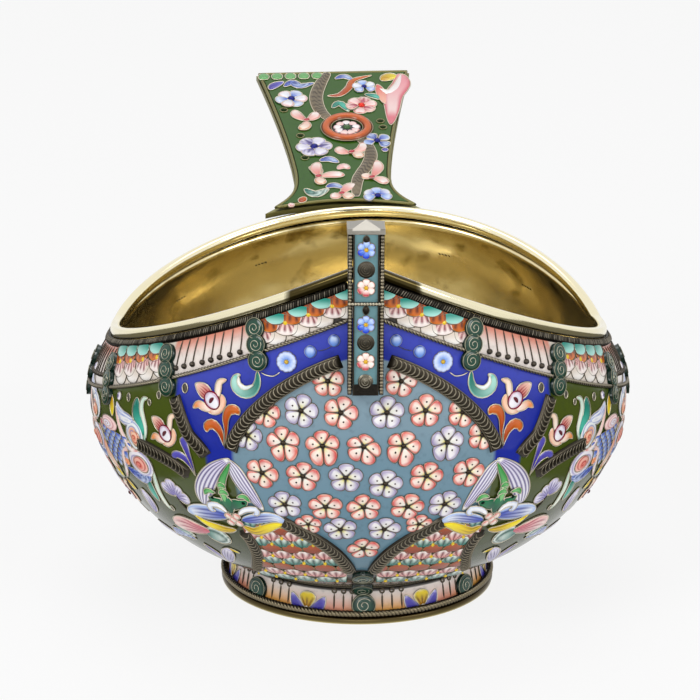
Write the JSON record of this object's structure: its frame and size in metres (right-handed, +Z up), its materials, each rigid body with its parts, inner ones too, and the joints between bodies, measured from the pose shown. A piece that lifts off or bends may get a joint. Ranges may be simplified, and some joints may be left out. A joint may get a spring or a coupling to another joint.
{
  "type": "kovsh drinking vessel",
  "caption": "Boat-shaped drinking vessel on a foot ring, with a raised prow post, a flat flaring handle and applied wire bands.",
  "frame": {"origin": "middle of the whole outline seen from above, on the surface that the foot ring stands on", "axes": "+Y towards the handle's end, so the prow post faces -Y; +X to the right of the prow as the picture sees it; +Z up"},
  "size_m": [0.11, 0.1604, 0.0903],
  "materials": {
    "gilt_silver": "polished gilding, a little wavy from the hammer",
    "pale_gilt_silver": "bright polished pale gilding",
    "oxidised_silver": "twisted and rolled silver wire, dark in its hollows",
    "bright_silver": "polished silver",
    "green_enamel": "glossy dark green enamel",
    "grey_teal_enamel": "glossy grey teal enamel",
    "handle_enamel": "glossy leaf green enamel with flowers in wire cells",
    "foot_enamel": "glossy enamel shaded from white to peach"
  },
  "bodies": {
    "root": {"bowl_shell": "gilt_silver", "gilt_rim": "pale_gilt_silver", "rim_milled_wire": "oxidised_silver", "shoulder_rope_wire": "oxidised_silver", "scroll_column_01": "green_enamel", "scroll_column_02": "green_enamel", "scroll_column_03": "green_enamel", "scroll_column_04": "green_enamel", "scroll_column_05": "green_enamel", "scroll_column_06": "green_enamel", "scroll_column_07": "green_enamel", "scroll_column_08": "green_enamel", "scroll_column_09": "green_enamel", "scroll_column_10": "green_enamel", "scroll_column_11": "green_enamel", "scroll_column_12": "green_enamel", "scroll_column_13": "green_enamel", "scroll_column_14": "green_enamel", "front_arch_left": "oxidised_silver", "front_arch_right": "oxidised_silver", "rear_arch": "oxidised_silver", "upper_diagonal_front_left": "oxidised_silver", "upper_diagonal_front_right": "oxidised_silver", "upper_diagonal_rear_left": "oxidised_silver", "upper_diagonal_rear_right": "oxidised_silver", "lower_diagonal_front_left": "oxidised_silver", "lower_diagonal_front_right": "oxidised_silver", "lower_diagonal_rear_left": "oxidised_silver", "lower_diagonal_rear_right": "oxidised_silver", "ogee_band_front_left": "oxidised_silver", "ogee_band_front_right": "oxidised_silver", "ogee_band_rear_left": "oxidised_silver", "ogee_band_rear_right": "oxidised_silver", "ogee_side_front_left": "oxidised_silver", "ogee_side_front_right": "oxidised_silver", "ogee_side_rear_left": "oxidised_silver", "ogee_side_rear_right": "oxidised_silver", "foot_base_ring": "pale_gilt_silver", "foot_wall": "foot_enamel", "foot_rope_wire": "oxidised_silver", "foot_collar_wire": "oxidised_silver", "post_front_plate": "grey_teal_enamel", "post_left_plate": "oxidised_silver", "post_right_plate": "oxidised_silver", "post_back_plate": "oxidised_silver", "post_bottom_plate": "oxidised_silver", "post_edge_wire_left": "bright_silver", "post_edge_wire_right": "bright_silver", "post_crossbar_wire": "bright_silver", "post_cap": "bright_silver", "handle_plate": "gilt_silver", "handle_frame_strip": "pale_gilt_silver", "handle_enamel_panel": "handle_enamel"}
  },
  "joints": []
}
